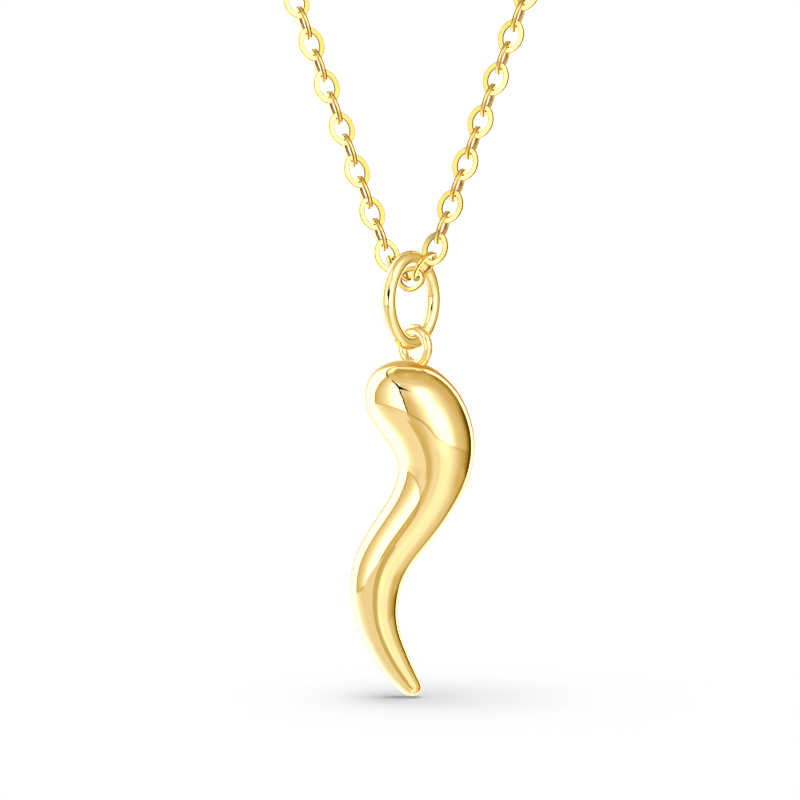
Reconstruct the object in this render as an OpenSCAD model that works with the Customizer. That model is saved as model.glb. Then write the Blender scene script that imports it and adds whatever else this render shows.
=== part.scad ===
// Cornicello horn pendant on a cable chain, closed by a plain ring clasp at the nape.
// Millimetres. The origin is the top of the loop, where it lies on the nape.
// X runs to the right, Y to the back and Z up, and the loop hangs in the XZ plane.

/* [Horn] */
// Height of the horn without its loop
horn_h = 25.2; // [22:0.2:28]
// Width of the horn from its belly to its back
horn_w = 9.3; // [8.5:0.1:10.5]
// Greatest thickness of the horn, across its head
horn_t = 6.4; // [5.6:0.1:7]
// Outer diameter of the loop soldered on the head
loop_d = 3.44; // [3.36:0.02:3.6]
// Wire of the loop
loop_wire = 0.78; // [0.7:0.02:0.84]
// Place of the loop across the horn, as a share of its width
loop_at = 0.52; // [0.48:0.01:0.54]
// Height of the loop's hole above the top of the head
loop_show = 0.04; // [0.04:0.02:0.16]

/* [Bail] */
// Height of the oval bail, outside
bail_h = 7.46; // [7:0.1:8]
// Width of the oval bail, outside
bail_w = 5.8; // [5.5:0.1:6.2]
// Wire of the bail
bail_wire = 1.08; // [1:0.02:1.2]
// Turn of the bail from the front, its left limb nearer
bail_turn = 45; // [40:1:50]

/* [Chain] */
// Length of the whole necklace, closed
chain_l = 400; // [385:5:410]
// Length of a link, outside
link_l = 2.6; // [2.54:0.02:2.7]
// Width of a link, outside
link_w = 1.94; // [1.86:0.02:2]
// Width of a link's flattened wire
link_wire = 0.36; // [0.32:0.01:0.38]
// Thickness of a link's flattened wire
link_t = 0.3; // [0.26:0.01:0.32]
// Clearance between linked links
link_gap = 0.21; // [0.19:0.01:0.25]
// Lean of each strand from upright
strand_lean = 19.65; // [18:0.25:22]
// Turn of the lowest links about their strand
strand_turn = 17; // [10:1:20]
// First link of the left strand, from the point where the strands would cross
first_left = 5.03; // [5:0.01:5.1]
// First link of the right strand, from the same point
first_right = 5.62; // [5.55:0.01:5.7]
// Foot of the left strand, behind the middle plane
left_back = 0.7; // [0.65:0.05:0.75]
// Foot of the right strand, in front of the middle plane
right_front = 0.6; // [0.55:0.05:0.65]

/* [Clasp] */
// Diameter of the clasp ring, outside
clasp_d = 5.5; // [5:0.1:6.5]
// Wire of the clasp ring
clasp_wire = 0.8; // [0.7:0.05:0.85]
// Diameter of the eye soldered to the clasp ring, outside
eye_d = 2; // [1.9:0.05:2.3]
// Wire of the eye
eye_wire = 0.5; // [0.4:0.05:0.55]

/* [Fits] */
// Clearance of the bail above the bottom link, hanging
bail_rest = 0.1; // [0.08:0.01:0.18]
// Clearance of the loop on the bail, hanging
loop_rest = 0.07; // [0.06:0.01:0.1]
// Place of the loop along the bail's wire, from its lowest point
loop_slide = 0.3; // [0.1:0.05:0.35]
// Shift of the loop across the bail's wire
loop_shift = 0.1; // [0:0.02:0.12]

/* [Hidden] */

// The horn from its rounded head to its tip, one row for each section.
// Columns: left edge across and down, right edge across and down, in shares.
// A smooth curve follows the rows, and it is stretched to the horn's width and height.
HORN = [
    [0.190, 0.037, 0.190, 0.037],
    [0.134, 0.074, 0.305, 0.008],
    [0.120, 0.131, 0.478, 0.000],
    [0.172, 0.180, 0.662, 0.024],
    [0.248, 0.219, 0.817, 0.078],
    [0.315, 0.251, 0.916, 0.140],
    [0.358, 0.282, 0.992, 0.238],
    [0.390, 0.310, 0.950, 0.350],
    [0.380, 0.363, 0.826, 0.440],
    [0.304, 0.423, 0.680, 0.522],
    [0.163, 0.498, 0.526, 0.590],
    [0.033, 0.587, 0.430, 0.643],
    [0.000, 0.680, 0.394, 0.693],
    [0.037, 0.768, 0.372, 0.748],
    [0.121, 0.848, 0.390, 0.810],
    [0.235, 0.919, 0.460, 0.875],
    [0.305, 0.951, 0.498, 0.913],
    [0.396, 0.985, 0.550, 0.952],
    [0.454, 1.000, 0.575, 0.979],
    [0.526, 0.998, 0.526, 0.998]
];
// Rings between two rows of the table
horn_steps = 2;
// Points round each ring
horn_sides = 28;

// The three lowest links, which the bail hangs over, chosen by hand.
// Columns: across, back and above the point where the strands would cross,
// then lean to the right, lean to the back and turn about the link's length.
LOW_LINKS = [
    [-0.80, 0.80, 3.78, -38, 25, 70],
    [0.10, -0.15, 3.02, 90, -41, -12],
    [1.08, -0.57, 3.98, 38, 2, 58]
];
LEFT_LINK = LOW_LINKS[0];
BOTTOM_LINK = LOW_LINKS[1];
RIGHT_LINK = LOW_LINKS[2];

gold = "gold";
round_fn = 48;
wire_fn = 40;

// Chain: links, their number and the loop that they lie on.
link_pitch = link_l - 2 * link_wire - link_gap;
link_a = (link_l - link_wire) / 2;
link_b = (link_w - link_wire) / 2;
ring_r = (clasp_d - clasp_wire) / 2;
eye_r = (eye_d - eye_wire) / 2;
eye_reach = ring_r + clasp_wire / 2 + eye_d / 2 - eye_wire / 2;
last_right = ring_r - clasp_wire / 2 - link_gap + link_l / 2 - link_wire;
last_left = eye_reach + eye_r - eye_wire / 2 - link_gap + link_l / 2 - link_wire;
ends_l = first_left + first_right + last_left + last_right;
strand_n = 2 * round((chain_l - ends_l + 2 * link_pitch) / (4 * link_pitch));
half_l = (ends_l + 2 * (strand_n - 1) * link_pitch) / 2;
turn_r = half_l / (1 / tan(strand_lean) + (90 + strand_lean) * PI / 180);
straight_l = turn_r / tan(strand_lean);
cross_z = -turn_r - turn_r / sin(strand_lean);
clasp_off = half_l - first_right - (strand_n - 1) * link_pitch - last_right;

// Bail: it hangs on the upper limb of the bottom link.
bail_a = (bail_h - bail_wire) / 2;
bail_b = (bail_w - bail_wire) / 2;
bail_x = BOTTOM_LINK[0];
limb_z = cross_z + BOTTOM_LINK[2] + link_b * cos(BOTTOM_LINK[5]);
bail_z = limb_z + link_wire / 2 + bail_rest + bail_wire / 2 - bail_a;

// Loop: it hangs on the bail's lowest stretch, a quarter turn from the bail.
loop_r = (loop_d - loop_wire) / 2;
loop_play = loop_r - loop_wire / 2 - bail_wire / 2 - loop_rest;
loop_drop = sqrt(loop_play * loop_play - loop_shift * loop_shift);
bend_r = end_r(bail_a, bail_b);
loop_rise = bend_r - sqrt(bend_r * bend_r - loop_slide * loop_slide);
loop_x = bail_x + loop_slide * cos(bail_turn) + loop_shift * sin(bail_turn);
loop_y = loop_slide * sin(bail_turn) - loop_shift * cos(bail_turn);
loop_z = bail_z - bail_a + loop_rise - loop_drop;
horn_x = loop_x - loop_at * horn_w;
horn_z = loop_z - loop_r + loop_wire / 2 - loop_show;

// Radius of an oval's ends and of its sides, for its half length a and half width b
function end_r(a, b) = (b - (sqrt(2) - 1) * a) / (2 - sqrt(2));
function side_r(a, b) = end_r(a, b) + sqrt(2) * (a - end_r(a, b));

// Weights of four neighbouring rows at the share u between the middle two
function weights(u) = [
    pow(1 - u, 3), 3 * pow(u, 3) - 6 * u * u + 4,
    -3 * pow(u, 3) + 3 * u * u + 3 * u + 1, pow(u, 3)
] / 6;
function swapped(row) = [row[2], row[3], row[0], row[1]];
horn_rows = len(HORN);
HORN_PADDED = concat([swapped(HORN[1])], HORN, [swapped(HORN[horn_rows - 2])]);
horn_rings = (horn_rows - 1) * horn_steps;
function horn_row(i, u) = weights(u) * [for (k = [0 : 3]) HORN_PADDED[min(i + k, horn_rows + 1)]];
horn_edges = [for (k = [0 : horn_rings]) let (i = floor(k / horn_steps)) horn_row(i, k / horn_steps - i)];
horn_left = min([for (row = horn_edges) min(row[0], row[2])]);
horn_right = max([for (row = horn_edges) max(row[0], row[2])]);
horn_top = min([for (row = horn_edges) min(row[1], row[3])]);
horn_foot = max([for (row = horn_edges) max(row[1], row[3])]);

// Point of an edge, across and up from the horn's top left corner
function edge_point(across, down) = [
    (across - horn_left) / (horn_right - horn_left) * horn_w,
    -(down - horn_top) / (horn_foot - horn_top) * horn_h
];
function left_edge(k) = edge_point(horn_edges[k][0], horn_edges[k][1]);
function right_edge(k) = edge_point(horn_edges[k][2], horn_edges[k][3]);
horn_chord_max = max([for (k = [0 : horn_rings]) norm(right_edge(k) - left_edge(k))]);

// Points round the horn's ring k, from its left edge by the back to its right edge
function horn_ring(k) =
    let (middle = (left_edge(k) + right_edge(k)) / 2, half = (right_edge(k) - left_edge(k)) / 2,
         deep = norm(half) * horn_t / horn_chord_max)
    [for (j = [0 : horn_sides - 1]) let (t = 360 * j / horn_sides)
        [middle[0] - half[0] * cos(t), deep * sin(t), middle[1] - half[1] * cos(t)]];

module horn_body() {
    rings = [for (k = [1 : horn_rings - 1]) each horn_ring(k)];
    first = left_edge(0);
    last = left_edge(horn_rings);
    ends = [[first[0], 0, first[1]], [last[0], 0, last[1]]];
    n = horn_sides;
    rows = horn_rings - 1;
    head = rows * n;
    sides = [for (i = [0 : rows - 2], j = [0 : n - 1]) let (a = i * n + j, b = i * n + (j + 1) % n)
        each [[a, b + n, b], [a, a + n, b + n]]];
    caps = [for (j = [0 : n - 1]) let (a = (rows - 1) * n + j, b = (rows - 1) * n + (j + 1) % n)
        each [[head, j, (j + 1) % n], [head + 1, b, a]]];
    polyhedron(concat(rings, ends), concat(sides, caps));
}

module wire_ring(r, wire) {
    rotate([90, 0, 0]) rotate_extrude($fn = round_fn) translate([r, 0]) circle(wire / 2, $fn = wire_fn);
}

module horn() color(gold) {
    translate([horn_x, 0, horn_z]) horn_body();
    translate([loop_x, loop_y, loop_z]) rotate([0, 0, bail_turn - 90]) wire_ring(loop_r, loop_wire);
}

// A quarter of an oval whose section is the module's child, about Z from the angle given
module oval_arc(r, from) {
    rotate([0, 0, from]) rotate_extrude(angle = 90, $fn = round_fn) translate([r, 0]) children();
}

// An oval in the XY plane, its length along X
module oval(a, b) {
    e = end_r(a, b);
    s = side_r(a, b);
    for (k = [0, 180]) rotate([0, 0, k]) {
        translate([a - e, 0]) oval_arc(e, -45) children();
        translate([0, b - s]) oval_arc(s, 45) children();
    }
}

module bail() color(gold) {
    translate([bail_x, 0, bail_z]) rotate([0, 0, bail_turn]) rotate([0, 90, 90])
        oval(bail_a, bail_b) circle(bail_wire / 2, $fn = wire_fn);
}

// One link, its length along Z and its flat faces to the front and the back
module chain_link() {
    rotate([0, 90, 90]) oval(link_a, link_b) square([link_wire, link_t], center = true);
}

module low_link(row) {
    translate([row[0], row[1], cross_z + row[2]])
        rotate([0, row[3], 0]) rotate([-row[4], 0, 0]) rotate([0, 0, row[5]]) chain_link();
}

// Place and lean of the point that lies s along the right strand, from the crossing point
function arc_turn(s) = (s - straight_l) / turn_r * 180 / PI;
function path_at(s) = s < straight_l
    ? [s * sin(strand_lean), cross_z + s * cos(strand_lean), strand_lean]
    : let (q = arc_turn(s) - strand_lean) [turn_r * cos(q), -turn_r + turn_r * sin(q), -q];

// A strand on the side given, 1 for the right and -1 for the left
module strand(side, first, foot) {
    for (i = [0 : strand_n - 1]) let (p = path_at(first + i * link_pitch), fade = 1 - i / strand_n)
        translate([side * p[0], foot * fade, p[1]]) rotate([0, side * p[2], 0])
            rotate([0, 0, -side * strand_turn * fade + 90 * (i % 2)]) chain_link();
}

module chain_left() color(gold) {
    low_link(LEFT_LINK);
    strand(-1, first_left, left_back);
}

module chain_right() color(gold) {
    low_link(BOTTOM_LINK);
    low_link(RIGHT_LINK);
    strand(1, first_right, -right_front);
}

// Moves its child along the top of the loop, by a length to the right
module along_nape(s) {
    translate([0, 0, -turn_r]) rotate([0, s / turn_r * 180 / PI, 0]) translate([0, 0, turn_r]) children();
}

module clasp() color(gold) {
    along_nape(clasp_off) wire_ring(ring_r, clasp_wire);
    along_nape(clasp_off - eye_reach) wire_ring(eye_r, eye_wire);
}

horn();
bail();
chain_left();
chain_right();
clasp();
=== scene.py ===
# Cornicello horn pendant on its cable chain: the looks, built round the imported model.
# The frame is the model's own, with X to the right, Y to the back and Z up. Sizes are in millimetres.
import math

import bmesh
import bpy
from mathutils import Matrix, Vector


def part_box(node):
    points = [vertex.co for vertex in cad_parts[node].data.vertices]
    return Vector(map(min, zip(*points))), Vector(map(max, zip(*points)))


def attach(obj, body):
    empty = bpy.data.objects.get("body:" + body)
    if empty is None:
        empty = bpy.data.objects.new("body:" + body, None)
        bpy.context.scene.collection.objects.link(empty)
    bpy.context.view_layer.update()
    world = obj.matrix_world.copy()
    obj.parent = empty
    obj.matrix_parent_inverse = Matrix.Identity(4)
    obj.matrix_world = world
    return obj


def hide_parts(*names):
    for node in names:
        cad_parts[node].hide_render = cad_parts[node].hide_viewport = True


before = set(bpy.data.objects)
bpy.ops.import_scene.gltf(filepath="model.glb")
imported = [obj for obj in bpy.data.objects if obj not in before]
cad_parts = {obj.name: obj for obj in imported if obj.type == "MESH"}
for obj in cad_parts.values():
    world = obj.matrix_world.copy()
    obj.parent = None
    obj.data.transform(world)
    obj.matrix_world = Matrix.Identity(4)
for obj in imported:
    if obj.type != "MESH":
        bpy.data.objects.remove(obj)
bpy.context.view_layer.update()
MM = 0.001

# Horn: height, width and thickness
HORN_H = 25.2
HORN_W = 9.3
HORN_T = 6.4
# Loop on the horn: outer diameter, wire, place as a share of the horn's width, and height of its hole
# above the head
LOOP_D = 3.44
LOOP_WIRE = 0.78
LOOP_SHARE = 0.52
LOOP_SHOW = 0.04
# Bail: outer height and width, wire, and turn from the front in degrees
BAIL_H = 7.46
BAIL_W = 5.8
BAIL_WIRE = 1.08
BAIL_TURN = 45.0
# Chain: closed length, then a link's outer length and width, its wire and its clearance
CHAIN_L = 400.0
LINK_L = 2.6
LINK_W = 1.94
LINK_WIRE = 0.36
LINK_GAP = 0.21
# Strands: lean from upright and turn of the lowest links in degrees, each side's first link from the
# point where the strands would cross, and their feet behind and in front of the middle plane
STRAND_LEAN = 19.65
STRAND_TURN = 17.0
FIRST_LEFT = 5.03
FIRST_RIGHT = 5.62
LEFT_BACK = 0.7
RIGHT_FRONT = 0.6
# Clasp: outer diameter and wire of its ring and of the eye soldered to it
CLASP_D = 5.5
CLASP_WIRE = 0.8
EYE_D = 2.0
EYE_WIRE = 0.5
# Fits: clearance of the bail on the bottom link and of the loop on the bail, and the loop's place along
# the bail's wire and across it
BAIL_REST = 0.1
LOOP_REST = 0.07
LOOP_SLIDE = 0.3
LOOP_SHIFT = 0.1

# The horn's sections: left edge across and down, right edge across and down, in shares.
# A smooth curve follows them, stretched to the horn's width and height.
HORN = [
    (0.190, 0.037, 0.190, 0.037),
    (0.134, 0.074, 0.305, 0.008),
    (0.120, 0.131, 0.478, 0.000),
    (0.172, 0.180, 0.662, 0.024),
    (0.248, 0.219, 0.817, 0.078),
    (0.315, 0.251, 0.916, 0.140),
    (0.358, 0.282, 0.992, 0.238),
    (0.390, 0.310, 0.950, 0.350),
    (0.380, 0.363, 0.826, 0.440),
    (0.304, 0.423, 0.680, 0.522),
    (0.163, 0.498, 0.526, 0.590),
    (0.033, 0.587, 0.430, 0.643),
    (0.000, 0.680, 0.394, 0.693),
    (0.037, 0.768, 0.372, 0.748),
    (0.121, 0.848, 0.390, 0.810),
    (0.235, 0.919, 0.460, 0.875),
    (0.305, 0.951, 0.498, 0.913),
    (0.396, 0.985, 0.550, 0.952),
    (0.454, 1.000, 0.575, 0.979),
    (0.526, 0.998, 0.526, 0.998),
]
# Rings from one row to the next, and points round each ring
HORN_STEPS = 10
HORN_SIDES = 96

# The three lowest links: across, back and above the point where the strands would cross, then lean to
# the right, lean to the back and turn about the link's length
LEFT_LINK = (-0.80, 0.80, 3.78, -38, 25, 70)
BOTTOM_LINK = (0.10, -0.15, 3.02, 90, -41, -12)
RIGHT_LINK = (1.08, -0.57, 3.98, 38, 2, 58)

# Points along the wire of a ring, of the bail and of the eye, and round it
RING_POINTS, RING_SIDES = 96, 28
BAIL_POINTS, BAIL_SIDES = 144, 32
EYE_POINTS, EYE_SIDES = 64, 20

# Width and thickness of a link's flattened wire, in the strands and, slimmer, in the three lowest links
STRAND_SECTION = (0.42, 0.33)
LOW_SECTION = (0.38, 0.33)
# Slope of a link's faces down into its hole, in degrees, and the bulge of its sides
FACE_SLOPE = 11.0
SIDE_BULGE = 0.06
# Points along a link, strips from the middle of its side to its face, how many of them are its edge, and
# the material slots of these
LINK_POINTS = 44
SIDE_STEPS = 4
EDGE_STEPS = 2
# The side and edge slots take darker copies of the links' gold: painted shade
FACE_SLOT, SIDE_SHADE_SLOT, EDGE_SHADE_SLOT = 0, 1, 2
# Turn between two faces, in degrees, from which their edge is shaded as sharp
LINK_SHARP = 25.0
CLASP_SHARP = 35.0


def oval_radii(a, b):
    """Radius of an oval's ends and of its sides, for its half length a and half width b."""
    end = (b - (math.sqrt(2) - 1) * a) / (2 - math.sqrt(2))
    return end, end + math.sqrt(2) * (a - end)


# Chain: a link's half sizes to the middle of its wire, the pitch, and each last link from the clasp
LINK_A = (LINK_L - LINK_WIRE) / 2
LINK_B = (LINK_W - LINK_WIRE) / 2
PITCH = LINK_L - 2 * LINK_WIRE - LINK_GAP
RING_R = (CLASP_D - CLASP_WIRE) / 2
EYE_R = (EYE_D - EYE_WIRE) / 2
EYE_REACH = RING_R + CLASP_WIRE / 2 + EYE_D / 2 - EYE_WIRE / 2
LINK_REACH = LINK_L / 2 - LINK_WIRE - LINK_GAP
LAST_RIGHT = RING_R - CLASP_WIRE / 2 + LINK_REACH
LAST_LEFT = EYE_REACH + EYE_R - EYE_WIRE / 2 + LINK_REACH

# Chain: links in a strand, and the straight and the round of the path that they lie on
ENDS = FIRST_LEFT + FIRST_RIGHT + LAST_LEFT + LAST_RIGHT
STRAND_N = 2 * round((CHAIN_L - ENDS + 2 * PITCH) / (4 * PITCH))
HALF_L = (ENDS + 2 * (STRAND_N - 1) * PITCH) / 2
LEAN = math.radians(STRAND_LEAN)
TURN_R = HALF_L / (1 / math.tan(LEAN) + math.pi / 2 + LEAN)
STRAIGHT = TURN_R / math.tan(LEAN)
CROSS_Z = -TURN_R - TURN_R / math.sin(LEAN)
CLASP_OFF = HALF_L - FIRST_RIGHT - (STRAND_N - 1) * PITCH - LAST_RIGHT

# Bail, hanging on the upper limb of the bottom link
BAIL_A = (BAIL_H - BAIL_WIRE) / 2
BAIL_B = (BAIL_W - BAIL_WIRE) / 2
LIMB_Z = CROSS_Z + BOTTOM_LINK[2] + LINK_B * math.cos(math.radians(BOTTOM_LINK[5]))
BAIL_AT = Vector((BOTTOM_LINK[0], 0, LIMB_Z + LINK_WIRE / 2 + BAIL_REST + BAIL_WIRE / 2 - BAIL_A))

# Loop, hanging on the lowest stretch of the bail, and the top left corner of the horn under it
BAIL_YAW = math.radians(BAIL_TURN)
ALONG_BAIL = Vector((math.cos(BAIL_YAW), math.sin(BAIL_YAW), 0))
ACROSS_BAIL = Vector((math.sin(BAIL_YAW), -math.cos(BAIL_YAW), 0))
LOOP_R = (LOOP_D - LOOP_WIRE) / 2
LOOP_PLAY = LOOP_R - LOOP_WIRE / 2 - BAIL_WIRE / 2 - LOOP_REST
BEND_R = oval_radii(BAIL_A, BAIL_B)[0]
LOOP_RISE = BEND_R - math.sqrt(BEND_R**2 - LOOP_SLIDE**2)
LOOP_FALL = math.sqrt(LOOP_PLAY**2 - LOOP_SHIFT**2)
LOOP_AT = BAIL_AT + ALONG_BAIL * LOOP_SLIDE + ACROSS_BAIL * LOOP_SHIFT
LOOP_AT.z += LOOP_RISE - LOOP_FALL - BAIL_A
HORN_LEFT = LOOP_AT.x - LOOP_SHARE * HORN_W
HORN_TOP = LOOP_AT.z - LOOP_R + LOOP_WIRE / 2 - LOOP_SHOW
HORN_AT = Vector((HORN_LEFT, 0, HORN_TOP))


def moved(at):
    """Matrix of a shift."""
    return Matrix.Translation(at)


def turned(axis, degrees):
    """Matrix of a turn about an axis through the origin."""
    return Matrix.Rotation(math.radians(degrees), 4, axis)


# Stands an oval of the XY plane upright, its length along Z
UPRIGHT = turned("Z", 90) @ turned("Y", 90)


def new_object(name, data):
    """An object of this mesh, light or camera, in the scene."""
    made = bpy.data.objects.new(name, data)
    bpy.context.scene.collection.objects.link(made)
    return made


def new_mesh(name, points, faces):
    """A smooth mesh object from points in millimetres."""
    mesh = bpy.data.meshes.new(name)
    mesh.from_pydata([Vector(point) * MM for point in points], [], faces)
    mesh.polygons.foreach_set("use_smooth", [True] * len(mesh.polygons))
    return new_object(name, mesh)


def new_solid(name, points, faces):
    """A closed mesh object whose faces all look outward."""
    made = new_mesh(name, points, faces)
    work = bmesh.new()
    work.from_mesh(made.data)
    bmesh.ops.recalc_face_normals(work, faces=work.faces)
    work.to_mesh(made.data)
    work.free()
    return made


def sharpen(target, degrees):
    """Marks the edges that turn by this angle or more as sharp."""
    work = bmesh.new()
    work.from_mesh(target.data)
    for edge in work.edges:
        edge.smooth = edge.calc_face_angle(0) < math.radians(degrees)
    work.to_mesh(target.data)
    work.free()


def union(target, tool):
    """Joins tool to target as one solid."""
    join = target.modifiers.new("join", "BOOLEAN")
    join.operation = "UNION"
    join.solver = "EXACT"
    join.object = tool
    bpy.context.view_layer.update()
    mesh = bpy.data.meshes.new_from_object(target.evaluated_get(bpy.context.evaluated_depsgraph_get()))
    target.modifiers.clear()
    target.data = mesh
    bpy.data.objects.remove(tool)


def tube_faces(rings, sides):
    """The faces of a closed tube, from its sections in order round it."""
    faces = []
    for i in range(rings):
        low, high = i * sides, (i + 1) % rings * sides
        for j in range(sides):
            k = (j + 1) % sides
            faces.append((low + j, low + k, high + k, high + j))
    return faces


def oval_line(a, b, count):
    """Points of a four-arc oval in the XY plane, its length along X, and their outward directions."""
    end, side = oval_radii(a, b)
    arcs = [
        (a - end, 0, end, -45),
        (0, b - side, side, 45),
        (end - a, 0, end, 135),
        (0, side - b, side, 225),
    ]
    line = []
    for x, y, radius, start in arcs:
        for i in range(count // 4):
            turn = math.radians(start + 90 * i / (count // 4))
            out = Vector((math.cos(turn), math.sin(turn), 0))
            line.append((Vector((x, y, 0)) + out * radius, out))
    return line


def circle_line(radius, count):
    """Points of a circle in the XY plane, and their outward directions."""
    line = []
    for i in range(count):
        turn = math.tau * i / count
        out = Vector((math.cos(turn), math.sin(turn), 0))
        line.append((out * radius, out))
    return line


def round_section(wire, sides):
    """Outward and sideways of each point round a round wire."""
    turns = [math.tau * j / sides for j in range(sides)]
    return [(math.cos(turn) * wire / 2, math.sin(turn) * wire / 2) for turn in turns]


def swept(line, section, place):
    """Points and faces of a section carried round a closed line and moved by the matrix place."""
    points = [place @ (at + out * u + Vector((0, 0, v))) for at, out in line for u, v in section]
    return points, tube_faces(len(line), len(section))


def ring_parts(radius, wire, place, count=RING_POINTS, sides=RING_SIDES):
    """A round ring of round wire, upright in the XZ plane before it is placed."""
    return swept(circle_line(radius, count), round_section(wire, sides), place @ turned("X", 90))


def joined(parts):
    """One list of points and one of faces from several."""
    points, faces = [], []
    for some, shape in parts:
        first = len(points)
        points += some
        faces += [tuple(first + k for k in face) for face in shape]
    return points, faces


def spline_weights(u):
    """Weights of four neighbouring rows at the share u between the middle two."""
    return [
        (1 - u) ** 3 / 6,
        (3 * u**3 - 6 * u**2 + 4) / 6,
        (-3 * u**3 + 3 * u**2 + 3 * u + 1) / 6,
        u**3 / 6,
    ]


def swapped(row):
    """A row of HORN with its left and right edges exchanged, to carry the curve round an end."""
    return row[2:] + row[:2]


def horn_edges():
    """The horn's left and right edge points, from its own top left corner."""
    padded = [swapped(HORN[1]), *HORN, swapped(HORN[-2])]
    rows = []
    for k in range((len(HORN) - 1) * HORN_STEPS + 1):
        i = min(k // HORN_STEPS, len(HORN) - 2)
        weights = spline_weights(k / HORN_STEPS - i)
        rows.append([sum(w * padded[i + n][c] for n, w in enumerate(weights)) for c in range(4)])
    across = [row[c] for row in rows for c in (0, 2)]
    down = [row[c] for row in rows for c in (1, 3)]
    wide = HORN_W / (max(across) - min(across))
    high = HORN_H / (max(down) - min(down))

    def edge(x, y):
        return Vector(((x - min(across)) * wide, 0, (min(down) - y) * high))

    return [(edge(row[0], row[1]), edge(row[2], row[3])) for row in rows]


def horn_parts():
    """The horn's skin: an ellipse between each pair of edge points, closed at both ends."""
    edges = horn_edges()
    widest = max((right - left).length for left, right in edges)
    points = []
    for left, right in edges[1:-1]:
        middle, half = (left + right) / 2, (right - left) / 2
        deep = half.length * HORN_T / widest
        for j in range(HORN_SIDES):
            turn = math.tau * j / HORN_SIDES
            points.append(HORN_AT + middle - half * math.cos(turn) + Vector((0, deep * math.sin(turn), 0)))
    head, tip = len(points), len(points) + 1
    last = head - HORN_SIDES
    faces = []
    for low in range(0, last, HORN_SIDES):
        for j in range(HORN_SIDES):
            a, b = low + j, low + (j + 1) % HORN_SIDES
            faces.append((a, a + HORN_SIDES, b + HORN_SIDES, b))
    points += [HORN_AT + edges[0][0], HORN_AT + edges[-1][0]]
    for j in range(HORN_SIDES):
        k = (j + 1) % HORN_SIDES
        faces += [(head, j, k), (tip, last + k, last + j)]
    return points, faces


def build_horn():
    """The horn's body."""
    return new_solid("horn_polished", *horn_parts())


def build_loop():
    """The loop on the horn's head, a quarter turn from the bail."""
    place = moved(LOOP_AT) @ turned("Z", BAIL_TURN - 90)
    return new_solid("loop_polished", *ring_parts(LOOP_R, LOOP_WIRE, place))


def build_bail():
    """The oval ring of round wire that the loop hangs from."""
    line = oval_line(BAIL_A, BAIL_B, BAIL_POINTS)
    place = moved(BAIL_AT) @ turned("Z", BAIL_TURN) @ UPRIGHT
    return new_solid("bail_polished", *swept(line, round_section(BAIL_WIRE, BAIL_SIDES), place))


def half_side(middle, bulge, height):
    """Half of a link's bulging side, from its middle up to the link's face."""
    shares = [k / SIDE_STEPS for k in range(SIDE_STEPS + 1)]
    return [(middle - bulge * share**2, height * share) for share in shares]


def link_section(wide, thick):
    """Outward and sideways of each point round a link's wire, from the middle of its outer side."""
    fall = math.tan(math.radians(FACE_SLOPE)) * (wide - 2 * SIDE_BULGE)
    outer = half_side(LINK_WIRE / 2, SIDE_BULGE, thick / 2)
    inner = half_side(LINK_WIRE / 2 - wide, -SIDE_BULGE, thick / 2 - fall)
    half = outer + inner[::-1]
    return half + [(u, -v) for u, v in half[-2:0:-1]]


def link_slot(step):
    """The material slot of a strip of a link, counted from the middle of its outer side.

    The side round the hole takes the dark gold of the edges, painted shade in the link's hollow.
    """
    if step == SIDE_STEPS:
        return FACE_SLOT
    return SIDE_SHADE_SLOT if step < SIDE_STEPS - EDGE_STEPS else EDGE_SHADE_SLOT


def link_parts(place, size=STRAND_SECTION):
    """One link, its length along Z and its faces to the front and the back before it is placed."""
    return swept(oval_line(LINK_A, LINK_B, LINK_POINTS), link_section(*size), place @ UPRIGHT)


def low_link(row):
    """One of the three lowest links."""
    across, back, above, lean, lean_back, turn = row
    at = moved(Vector((across, back, CROSS_Z + above)))
    return link_parts(at @ turned("Y", lean) @ turned("X", -lean_back) @ turned("Z", turn), LOW_SECTION)


def path_at(s):
    """Across, height and lean of the point that lies s along the right strand."""
    if s < STRAIGHT:
        return s * math.sin(LEAN), CROSS_Z + s * math.cos(LEAN), STRAND_LEAN
    q = (s - STRAIGHT) / TURN_R - LEAN
    return TURN_R * math.cos(q), -TURN_R + TURN_R * math.sin(q), -math.degrees(q)


def strand(side, first, foot):
    """A strand's links, alternately a quarter turn round. Side is 1 on the right and -1 on the left."""
    parts = []
    for i in range(STRAND_N):
        across, up, lean = path_at(first + i * PITCH)
        fade = 1 - i / STRAND_N
        place = moved(Vector((side * across, foot * fade, up))) @ turned("Y", side * lean)
        parts.append(link_parts(place @ turned("Z", -side * STRAND_TURN * fade + 90 * (i % 2))))
    return parts


def build_chain(name, links):
    """One side of the chain, with its links' faces, sides and edges in material slots of their own."""
    chain = new_solid(name, *joined(links))
    sharpen(chain, LINK_SHARP)
    around = len(link_section(*STRAND_SECTION))
    for polygon in chain.data.polygons:
        step = polygon.index % around
        polygon.material_index = link_slot(min(step, around - 1 - step))
    return chain


def build_chain_left():
    """The left strand and the low link under it."""
    links = [low_link(LEFT_LINK), *strand(-1, FIRST_LEFT, LEFT_BACK)]
    return build_chain("chain_left_links", links)


def build_chain_right():
    """The bottom link, the right strand and the low link under it."""
    links = [low_link(BOTTOM_LINK), low_link(RIGHT_LINK), *strand(1, FIRST_RIGHT, -RIGHT_FRONT)]
    return build_chain("chain_right_links", links)


def along_nape(s):
    """The place at a length to the right along the top of the closed chain."""
    down = moved(Vector((0, 0, -TURN_R)))
    return down @ turned("Y", math.degrees(s / TURN_R)) @ moved(Vector((0, 0, TURN_R)))


def build_clasp():
    """The clasp's ring with the eye soldered to it."""
    clasp = new_solid("clasp_polished", *ring_parts(RING_R, CLASP_WIRE, along_nape(CLASP_OFF)))
    eye_at = along_nape(CLASP_OFF - EYE_REACH)
    eye = new_solid("clasp_eye", *ring_parts(EYE_R, EYE_WIRE, eye_at, EYE_POINTS, EYE_SIDES))
    union(clasp, eye)
    sharpen(clasp, CLASP_SHARP)
    return clasp


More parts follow.
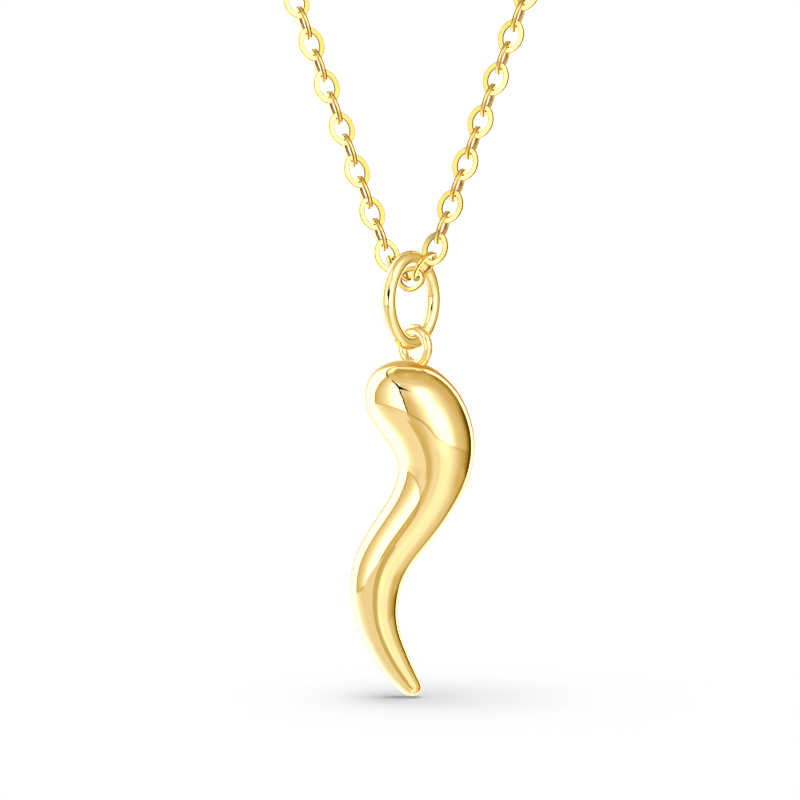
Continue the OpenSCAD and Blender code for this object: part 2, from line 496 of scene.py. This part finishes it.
class Nodes:
    """Short forms for making and linking the nodes of one tree, which it empties first."""

    def __init__(self, tree):
        self.tree = tree
        tree.nodes.clear()

    def add(self, kind, sockets=None, **settings):
        """A node, with its sockets, by name or number, set to a value or linked to another's output."""
        node = self.tree.nodes.new(kind)
        for name, value in settings.items():
            setattr(node, name, value)
        for key, value in (sockets or {}).items():
            if isinstance(value, bpy.types.NodeSocket):
                self.tree.links.new(value, node.inputs[key])
            else:
                node.inputs[key].default_value = value
        return node

    def math(self, operation, *values):
        """The result of one step of arithmetic."""
        return self.add("ShaderNodeMath", dict(enumerate(values)), operation=operation).outputs[0]

    def spread(self, value, low, high, kind="LINEAR"):
        """The value's share of the way from low to high, between 0 and 1."""
        sockets = {"Value": value, "From Min": low, "From Max": high}
        return self.add("ShaderNodeMapRange", sockets, interpolation_type=kind).outputs["Result"]

    def noise(self, place, scale, detail):
        """Soft clouds, from 0 to 1, at these coordinates."""
        sockets = {"Vector": place, "Scale": scale, "Detail": detail}
        return self.add("ShaderNodeTexNoise", sockets).outputs["Fac"]

    def ramp(self, share, stops):
        """A colour that runs through the stops as the share goes from 0 to 1."""
        node = self.add("ShaderNodeValToRGB", {"Fac": share})
        made = node.color_ramp.elements
        while len(made) > 1:
            made.remove(made[-1])
        for i, (place, colour) in enumerate(stops):
            stop = made[0] if i == 0 else made.new(place)
            stop.position = place
            stop.color = (*colour, 1)
        return node.outputs["Color"]

    def blend(self, share, first, second):
        """A colour between two, the first at a share of 0."""
        sockets = {"Factor": share, "A": first, "B": second}
        return self.add("ShaderNodeMix", sockets, data_type="RGBA").outputs["Result"]

    def mix(self, share, first, second):
        """A shader between two, the first at a share of 0."""
        return self.add("ShaderNodeMixShader", {0: share, 1: first.outputs[0], 2: second.outputs[0]})

    def finish(self, shader, kind="ShaderNodeOutputMaterial"):
        """Gives the tree's surface this shader."""
        self.add(kind, {"Surface": shader.outputs[0]})


def new_material(name):
    """A material, and its empty tree of nodes."""
    made = bpy.data.materials.new(name)
    made.use_nodes = True
    return made, Nodes(made.node_tree)


# Gold: the two tones and the two roughnesses that it clouds between, and its tone at a glancing angle.
# The links' drawn sides and edges are deeper in tone than their faces: painted shade, darkest on the edges
# and on the side round the hole.
POLISHED = {
    "tones": ((1.0, 0.76, 0.34), (1.0, 0.78, 0.38)),
    "haze": (0.03, 0.08),
    "glance": (1.0, 0.88, 0.66),
}
LINK_FACE = {
    "tones": ((1.0, 0.82, 0.26), (1.0, 0.86, 0.32)),
    "haze": (0.20, 0.28),
    "glance": (1.0, 0.85, 0.55),
}
# Painted shade: the links' sides, a darker, more orange copy of the faces' gold
LINK_SIDE_SHADE = {
    "tones": ((0.95, 0.60, 0.16), (1.0, 0.68, 0.22)),
    "haze": (0.10, 0.18),
    "glance": (0.9, 0.6, 0.3),
}
# Painted shade: the links' edges and the side round the hole, a dark brown copy of the gold that draws
# their outlines
LINK_EDGE_SHADE = {
    "tones": ((0.26, 0.13, 0.03), (0.36, 0.18, 0.05)),
    "haze": (0.14, 0.24),
    "glance": (0.4, 0.2, 0.08),
}
# In the order of the links' material slots
LINK_LOOKS = (LINK_FACE, LINK_SIDE_SHADE, LINK_EDGE_SHADE)
# Clouds of tone and haze: scale in waves to the metre, detail, and the shares where the two tones lie
CLOUD_SCALE = 900.0
CLOUD_DETAIL = 4.0
CLOUD_SPAN = (0.3, 0.7)
# Marks of polishing: scale in waves to the metre, detail, strength and depth
MARK_SCALE = 2600.0
MARK_DETAIL = 2.0
MARK_STRENGTH = 0.04
MARK_DEPTH = 0.02


def gold(name, look):
    """Yellow gold plate with faint changes of tone and haze, and fine marks of polishing."""
    made, make = new_material(name)
    place = make.add("ShaderNodeTexCoord").outputs["Object"]
    cloud = make.noise(place, CLOUD_SCALE, CLOUD_DETAIL)
    least, most = look["haze"]
    haze = make.add("ShaderNodeMapRange", {"Value": cloud, "To Min": least, "To Max": most})
    marks = make.noise(place, MARK_SCALE, MARK_DETAIL)
    relief = {"Height": marks, "Strength": MARK_STRENGTH, "Distance": MARK_DEPTH * MM}
    bump = make.add("ShaderNodeBump", relief)
    make.finish(make.add("ShaderNodeBsdfPrincipled", {
        "Base Color": make.ramp(cloud, zip(CLOUD_SPAN, look["tones"])),
        "Metallic": 1.0,
        "Roughness": haze.outputs["Result"],
        "Normal": bump.outputs["Normal"],
        "Specular Tint": (*look["glance"], 1),
    }))
    return made


def finish_piece(piece, body, node, looks=(POLISHED,), mirrored=False):
    """Gives a piece its gold and its body, and hides the imported node that it stands for.

    The floor's diffuse light leaves every piece out, so that the shadow stays neutral. Mirrored rays see
    the horn alone, so that its head mirrors the studio and none of the pieces above it.
    """
    piece.visible_diffuse = False
    piece.visible_glossy = mirrored
    for number, look in enumerate(looks, 1):
        piece.data.materials.append(gold(f"{node}_gold_{number}", look))
    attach(piece, body)
    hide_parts(node)


# Studio: what the polished metal mirrors, all round the object, in tiers of these tones
TONES = {
    "white": (2.5, 2.5, 2.5),
    "bright": (1.6, 1.5, 1.45),
    "light": (1.2, 1.18, 1.18),
    "cream": (0.94, 0.91, 0.86),
    "pale": (0.82, 0.76, 0.64),
    "straw": (0.75, 0.68, 0.50),
    "honey": (0.68, 0.57, 0.30),
    "amber": (0.52, 0.40, 0.14),
    "rust": (0.60, 0.33, 0.05),
    "brown": (0.32, 0.20, 0.02),
    "dark": (0.10, 0.05, 0.01),
}
# The ramps hold the tones as shares of this strength, so that none is above 1
TONE_SCALE = 2.5
# Tiers from the floor up: the elevation that each one reaches, how softly it ends, and its tones by
# azimuth, all in degrees, with azimuth 0 to the camera and positive to the right
TIERS = [
    (-34, 5.0, [
        (-180, "light"), (-156, "light"), (-146, "white"), (-98, "white"), (-82, "light"), (-62, "cream"),
        (-36, "cream"), (-24, "straw"), (-12, "straw"), (0, "cream"), (16, "light"), (56, "light"),
        (72, "cream"), (90, "pale"), (112, "straw"), (126, "amber"), (132, "straw"), (138, "light"),
        (150, "white"), (180, "light"),
    ]),
    (-20, 3.0, [
        (-180, "light"), (-156, "light"), (-146, "white"), (-102, "white"), (-88, "light"), (-68, "cream"),
        (-31, "cream"), (-29, "honey"), (-16, "honey"), (-2, "cream"), (12, "cream"), (20, "light"),
        (46, "light"), (60, "cream"), (72, "pale"), (84, "honey"), (106, "honey"), (118, "amber"),
        (126, "brown"), (130, "amber"), (136, "cream"), (141, "bright"), (150, "white"), (180, "light"),
    ]),
    (-11, 1.0, [
        (-180, "cream"), (-156, "light"), (-146, "white"), (-106, "white"), (-94, "light"), (-76, "cream"),
        (-56, "pale"), (-42, "cream"), (-24, "cream"), (-22, "honey"), (-8, "straw"), (2, "cream"),
        (16, "light"), (30, "bright"), (44, "light"), (60, "cream"), (70, "pale"), (82, "honey"),
        (100, "amber"), (114, "brown"), (121, "dark"), (131, "dark"), (136, "white"), (150, "white"),
        (153, "cream"), (180, "cream"),
    ]),
    (-8.5, 1.0, [
        (-180, "cream"), (-156, "light"), (-146, "white"), (-101, "white"), (-97, "honey"), (-60, "honey"),
        (-24, "honey"), (-20, "amber"), (0, "amber"), (12, "straw"), (26, "light"), (44, "light"),
        (58, "pale"), (76, "honey"), (98, "amber"), (112, "brown"), (121, "dark"), (131, "dark"),
        (136, "white"), (150, "white"), (153, "cream"), (180, "cream"),
    ]),
    (20, 10.0, [
        (-180, "pale"), (-152, "cream"), (-146, "white"), (-101, "white"), (-97, "amber"), (-92, "honey"),
        (-84, "straw"), (-74, "pale"), (-64, "cream"), (-54, "light"), (-40, "white"), (-21, "white"),
        (-20, "honey"), (-12, "honey"), (-4, "straw"), (4, "cream"), (13, "light"), (22, "white"),
        (50, "white"), (60, "light"), (70, "pale"), (84, "straw"), (98, "honey"), (106, "amber"),
        (114, "brown"), (121, "dark"), (131, "dark"), (135, "white"), (149, "white"), (152, "rust"),
        (162, "rust"), (180, "pale"),
    ]),
    (48, 5.0, [
        (-180, "honey"), (-160, "honey"), (-150, "pale"), (-143, "white"), (-98, "white"), (-93, "amber"),
        (-84, "straw"), (-68, "cream"), (-56, "light"), (-44, "white"), (-29, "white"), (-27, "pale"),
        (-12, "pale"), (-3, "cream"), (6, "light"), (18, "white"), (40, "white"), (52, "light"),
        (64, "cream"), (74, "pale"), (92, "honey"), (108, "honey"), (120, "amber"), (130, "brown"),
        (136, "brown"), (140, "white"), (148, "white"), (152, "rust"), (164, "rust"), (180, "honey"),
    ]),
    (52, 0.7, [
        (-180, "honey"), (-164, "honey"), (-150, "white"), (-100, "white"), (-92, "amber"), (-84, "straw"),
        (-66, "cream"), (-40, "cream"), (-22, "pale"), (0, "cream"), (30, "light"), (52, "cream"),
        (66, "pale"), (84, "honey"), (106, "honey"), (122, "amber"), (134, "amber"), (140, "light"),
        (150, "light"), (156, "rust"), (166, "rust"), (180, "honey"),
    ]),
    (56, 0.7, [
        (-180, "amber"), (-150, "brown"), (-90, "brown"), (-80, "pale"), (-40, "pale"), (0, "cream"),
        (30, "cream"), (54, "pale"), (84, "honey"), (106, "honey"), (124, "amber"), (150, "amber"),
        (180, "amber"),
    ]),
    (67, 2.0, [
        (-180, "cream"), (-150, "light"), (-125, "bright"), (-112, "light"), (-104, "honey"),
        (-60, "straw"), (-30, "straw"), (0, "pale"), (30, "pale"), (57, "straw"), (84, "honey"),
        (110, "honey"), (128, "amber"), (136, "brown"), (142, "light"), (155, "light"), (180, "cream"),
    ]),
    (90, 1.0, [
        (-180, "amber"), (-110, "amber"), (-60, "honey"), (0, "straw"), (48, "honey"), (84, "honey"),
        (126, "amber"), (180, "amber"),
    ]),
]
# Behind the pendant the tiers stand higher by this many degrees, in full or in part by azimuth
REAR_LIFT = 8.0
REAR = [(-180, 1.0), (-165, 1.0), (-148, 0.0), (148, 0.0), (165, 1.0), (180, 1.0)]
# Strength of the white backdrop that the camera sees, and of the room's light on the floor
BACKDROP_GLOW = 1.1
ROOM_GLOW = 0.30


def turn_share(azimuth):
    """The share of the full turn, from the back by the left, at which an azimuth lies."""
    return (azimuth + 180) / 360


def build_studio():
    """The world: the tiers for mirrored rays, and plain white light for all others."""
    world = bpy.data.worlds.new("studio")
    bpy.context.scene.world = world
    world.use_nodes = True
    world.cycles.sampling_method = "NONE"
    make = Nodes(world.node_tree)
    ray = make.add("ShaderNodeTexCoord").outputs["Generated"]
    way = make.add("ShaderNodeSeparateXYZ", {"Vector": ray}).outputs
    azimuth = make.math("ARCTAN2", way["X"], make.math("MULTIPLY", way["Y"], -1))
    share = make.spread(azimuth, -math.pi, math.pi)
    rear = make.ramp(share, [(turn_share(angle), (part, part, part)) for angle, part in REAR])
    lift = make.math("MULTIPLY", rear, math.radians(REAR_LIFT))
    elevation = make.math("SUBTRACT", make.math("ARCSINE", way["Z"]), lift)
    colour, border = None, None
    for reach, softness, tones in TIERS:
        stops = [(turn_share(angle), [part / TONE_SCALE for part in TONES[tone]]) for angle, tone in tones]
        tier = make.ramp(share, stops)
        if border:
            tier = make.blend(make.spread(elevation, *border, "SMOOTHSTEP"), colour, tier)
        colour = tier
        border = math.radians(reach - softness), math.radians(reach + softness)
    path = make.add("ShaderNodeLightPath")
    seen = make.math("MULTIPLY", path.outputs["Is Camera Ray"], BACKDROP_GLOW - ROOM_GLOW)
    glow = make.math("ADD", seen, ROOM_GLOW)
    white = make.add("ShaderNodeBackground", {"Color": (1, 1, 1, 1), "Strength": glow})
    mirror = make.add("ShaderNodeBackground", {"Color": colour, "Strength": TONE_SCALE})
    make.finish(make.mix(path.outputs["Is Glossy Ray"], white, mirror), "ShaderNodeOutputWorld")


# Floor: its gap under the horn's tip, the reach of its sides and its tone
FLOOR_GAP = 0.1
FLOOR_REACH = 1500
FLOOR_TONE = (0.95, 0.95, 0.95)


def build_floor():
    """The pale floor, which mirrored rays don't see."""
    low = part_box("horn")[0].z / MM - FLOOR_GAP
    corners = [(x * FLOOR_REACH, y * FLOOR_REACH, low) for x, y in ((-1, -1), (1, -1), (1, 1), (-1, 1))]
    floor = new_mesh("floor", corners, [(0, 1, 2, 3)])
    paper, make = new_material("paper")
    matt = {"Base Color": (*FLOOR_TONE, 1), "Roughness": 1.0, "Specular IOR Level": 0.0}
    make.finish(make.add("ShaderNodeBsdfPrincipled", matt))
    floor.data.materials.append(paper)
    floor.visible_glossy = False


def at_depth(back, line):
    """Corners of an upright card, from their places across and above."""
    return [(across, back, above) for across, above in line]


# Cards in front of the pendant, which mirrored rays alone see, each on the side that faces the pendant:
# its tone, the way that this side faces, and its corners across, back and above the top of the head.
# The three cards for the horn's lower body meet along two lines.
BLACK = (0.0, 0.0, 0.0)
TO_HORN = (0, 1, 0)
LOWER_BACK = -8
CREAM_LINE = [
    (-2.9, -15.0), (-3.6, -16.8), (-4.0, -18.7), (-3.9, -20.7), (-3.5, -22.7), (-2.2, -25.8),
    (0.2, -28.6), (3.5, -31),
]
STRAW_LINE = [
    (-0.6, -15.4), (-1.2, -17), (-1.6, -19.2), (-1.3, -22), (0, -23.5), (1.5, -25), (3.0, -26.4),
]
CARDS = {
    "head": (BLACK, TO_HORN, at_depth(-12, [
        (-22, 28.8), (-12, 14.5), (-6.4, 6.3), (-4.9, 5.5), (-2.4, 5.0), (0.2, 4.5), (-4.9, 7.6),
        (-9.2, 13.0), (-20.7, 29.2),
    ])),
    "head_line": (BLACK, TO_HORN, at_depth(-27, [
        (-14.9, 18.9), (-10.2, 3.5), (-9.6, -7.5), (-8.3, -7.5), (-8.6, 3.5), (-12.9, 18.5),
    ])),
    "bail": (BLACK, (0, 1, 1), [
        (-2.6, -7.8, 5.1), (-5.0, -12, 8.75), (-2.5, -12, 8.75), (-1.9, -9.8, 6.8), (-1.8, -11, 7.9),
        (0.25, -11, 7.9), (-0.1, -9, 6.1), (-0.6, -7.8, 5.1),
    ]),
    "links": ((1.05, 1.0, 0.6), (0, 7, 10), [
        (-2.0, -7.6, 8.32), (2.0, -7.6, 8.32), (34, -130, 94), (-34, -130, 94),
    ]),
    "lower_cream": ((0.86, 0.83, 0.76), TO_HORN, at_depth(LOWER_BACK, [
        *CREAM_LINE, (2, -34), (-12, -32), (-13, -20), (-10, -17.2), (-5.5, -15.6),
    ])),
    "lower_honey": ((0.60, 0.52, 0.27), TO_HORN, at_depth(LOWER_BACK, [
        (-1.5, -14.6), *CREAM_LINE, (5.5, -28.5), *STRAW_LINE[::-1],
    ])),
    "lower_straw": ((0.78, 0.73, 0.56), TO_HORN, at_depth(LOWER_BACK, [
        *STRAW_LINE, (3.9, -26.0), (2.3, -24.6), (0.7, -23), (-0.7, -21.8), (-1.0, -19.2), (-0.6, -17),
        (0, -15.6),
    ])),
    "tip_light": ((1.15, 1.12, 1.12), TO_HORN, at_depth(LOWER_BACK, [
        (1.5, -21), (2.3, -24.6), (3.9, -26.0), (6, -29), (12, -29), (12, -18.5), (3, -19),
    ])),
}


def build_card(name, tone, facing, corners):
    """One card, which glows on the side that faces the pendant and is clear from the other."""
    points = [(across, back, HORN_AT.z + above) for across, back, above in corners]
    card = new_mesh(f"card_{name}", points, [tuple(range(len(points)))])
    if card.data.polygons[0].normal.dot(Vector(facing)) < 0:
        card.data.flip_normals()
    paint, make = new_material(f"card_{name}")
    glow = make.add("ShaderNodeEmission", {"Color": (*tone, 1)})
    clear = make.add("ShaderNodeBsdfTransparent")
    make.finish(make.mix(make.add("ShaderNodeNewGeometry").outputs["Backfacing"], glow, clear))
    card.data.materials.append(paint)
    card.visible_camera = False
    card.visible_diffuse = False
    card.visible_shadow = False


# Lamp overhead: power, then spread and lean to the left in degrees
LAMP_POWER = 2.45
LAMP_SPREAD = 50.0
LAMP_LEAN = 4.0


def build_lamp():
    """The broad soft lamp overhead, for the shadow under the tip."""
    data = bpy.data.lights.new("overhead", "SUN")
    data.energy = LAMP_POWER
    data.angle = math.radians(LAMP_SPREAD)
    lamp = new_object("overhead", data)
    lamp.rotation_euler.y = -math.radians(LAMP_LEAN)
    lamp.visible_glossy = False


# The photograph's frame: its side and the point where the strands would cross, in pixels, and its scale
PHOTO = 800
CROSS_PX = (409.7, 319.4)
MM_PER_PX = 0.0746
# Camera: lens and sensor, the degrees that it looks down, and the nearest and furthest that it sees
LENS = 200.0
SENSOR = 36.0
LOOK_DOWN = 4.0
CLIP_START = 10
CLIP_END = 10000


def build_camera():
    """The camera, which looks at the middle of the photograph's frame from a little above."""
    data = bpy.data.cameras.new("camera")
    data.lens = LENS
    data.sensor_width = SENSOR
    data.clip_start = CLIP_START * MM
    data.clip_end = CLIP_END * MM
    camera = new_object("camera", data)
    bpy.context.scene.camera = camera
    across, below = ((PHOTO / 2 - pixel) * MM_PER_PX for pixel in CROSS_PX)
    aim = Vector((across, 0, CROSS_Z - below))
    down = math.radians(LOOK_DOWN)
    away = PHOTO * MM_PER_PX * LENS / SENSOR
    camera.location = (aim + Vector((0, -math.cos(down), math.sin(down))) * away) * MM
    camera.rotation_euler = (math.pi / 2 - down, 0, 0)


build_camera()
build_studio()
build_floor()
for card_name, card_look in CARDS.items():
    build_card(card_name, *card_look)
build_lamp()
finish_piece(build_horn(), "horn", "horn", mirrored=True)
finish_piece(build_loop(), "horn", "horn")
finish_piece(build_bail(), "bail", "bail")
finish_piece(build_chain_left(), "chain", "chain_left", LINK_LOOKS)
finish_piece(build_chain_right(), "chain", "chain_right", LINK_LOOKS)
finish_piece(build_clasp(), "chain", "clasp")

view = bpy.context.scene.view_settings
view.view_transform = "Standard"
view.look = "None"
